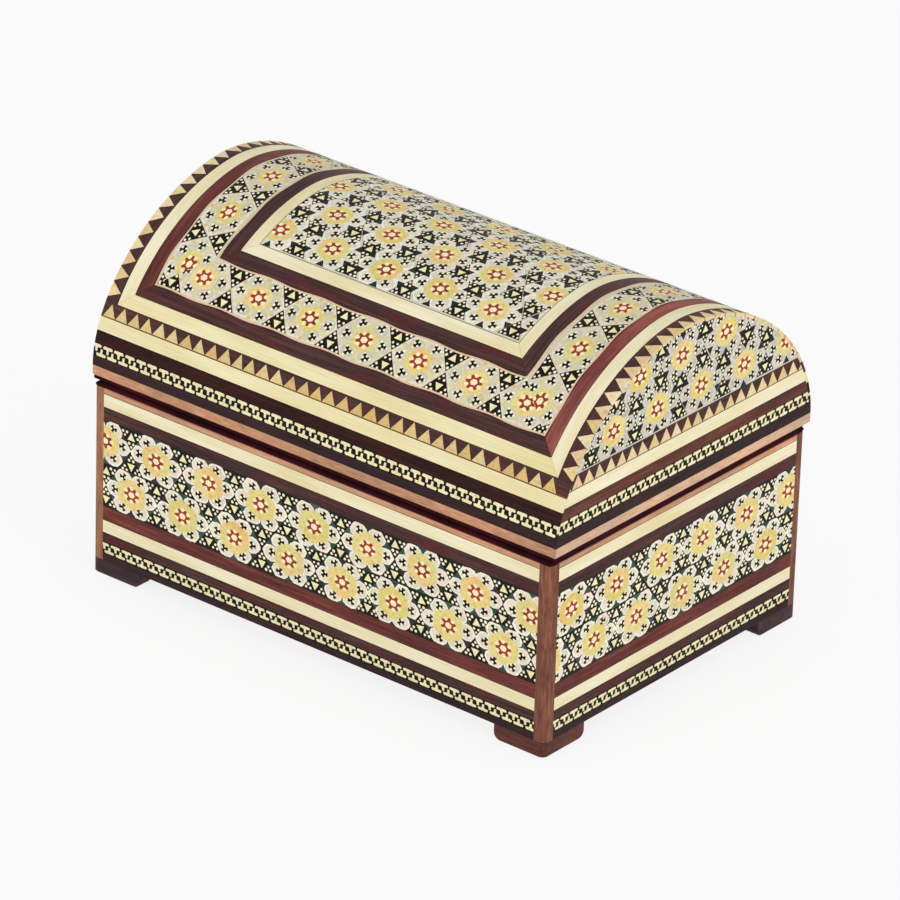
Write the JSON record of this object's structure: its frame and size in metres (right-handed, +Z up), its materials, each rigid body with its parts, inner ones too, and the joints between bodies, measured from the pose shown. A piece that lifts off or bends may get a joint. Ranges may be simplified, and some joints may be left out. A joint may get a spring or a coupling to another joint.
{
  "type": "inlaid jewellery box",
  "caption": "Rectangular wooden box with a hinged barrel-vaulted lid, bracket feet, velvet lining and star-pattern marquetry framed by ivory-coloured and rosewood strips.",
  "frame": {"origin": "middle of the closed box's footprint, at the undersides of the feet", "axes": "+X along the box to its right end seen from the front, -Y is the front, +Z up"},
  "size_m": [0.162, 0.1106, 0.1088],
  "materials": {
    "pale_wood": "satin lacquer",
    "mahogany": "semi-gloss lacquer",
    "rosewood": "semi-gloss lacquer",
    "chain_strip": "dark veneer with an ivory-coloured chain line, semi-gloss lacquer",
    "ivory_inlay": "ivory-coloured strip, semi-gloss lacquer",
    "star_marquetry": "marquetry of small rods in ivory, pearl grey, yellow, red and black, semi-gloss lacquer",
    "triangle_inlay": "light and dark triangles, semi-gloss lacquer",
    "velvet": "short dark pile",
    "brass": "dull, a little tarnished"
  },
  "bodies": {
    "case": {"base_board": "pale_wood", "wall_front": "pale_wood", "wall_back": "pale_wood", "wall_left": "pale_wood", "wall_right": "pale_wood", "post_front_right": "mahogany", "post_back_right": "mahogany", "post_back_left": "mahogany", "post_front_left": "mahogany", "foot_front_right": "mahogany", "foot_back_right": "mahogany", "foot_back_left": "mahogany", "foot_front_left": "mahogany", "front_chain_strip": "chain_strip", "front_lower_ivory": "ivory_inlay", "front_rosewood": "rosewood", "front_khatam": "star_marquetry", "front_upper_ivory": "ivory_inlay", "back_chain_strip": "chain_strip", "back_lower_ivory": "ivory_inlay", "back_rosewood": "rosewood", "back_khatam": "star_marquetry", "back_upper_ivory": "ivory_inlay", "left_chain_strip": "chain_strip", "left_lower_ivory": "ivory_inlay", "left_rosewood": "rosewood", "left_khatam": "star_marquetry", "left_upper_ivory": "ivory_inlay", "right_chain_strip": "chain_strip", "right_lower_ivory": "ivory_inlay", "right_rosewood": "rosewood", "right_khatam": "star_marquetry", "right_upper_ivory": "ivory_inlay", "case_lining": "velvet", "hinge_case_leaf": "brass", "hinge_pin": "brass"},
    "lid": {"lid_rim": "pale_wood", "lid_vault": "pale_wood", "lid_end_left": "pale_wood", "lid_end_right": "pale_wood", "lid_front_chain_strip": "chain_strip", "lid_front_ivory": "ivory_inlay", "lid_back_chain_strip": "chain_strip", "lid_back_ivory": "ivory_inlay", "lid_zigzag_frame": "triangle_inlay", "lid_outer_ivory": "ivory_inlay", "lid_rosewood_frame": "rosewood", "lid_khatam_band": "star_marquetry", "lid_inner_ivory": "ivory_inlay", "lid_khatam_field": "star_marquetry", "lid_left_chain_strip": "chain_strip", "lid_left_ivory": "ivory_inlay", "lid_left_zigzag": "triangle_inlay", "lid_left_khatam": "star_marquetry", "lid_right_chain_strip": "chain_strip", "lid_right_ivory": "ivory_inlay", "lid_right_zigzag": "triangle_inlay", "lid_right_khatam": "star_marquetry", "lid_lining": "velvet", "hinge_lid_leaf": "brass"}
  },
  "joints": [
    {"name": "lid_hinge", "type": "hinge", "parent": "case", "child": "lid", "pos_m": [0, 0.05395, 0.05825], "axis": [-1, 0, 0], "range_deg": [0, 104]}
  ]
}
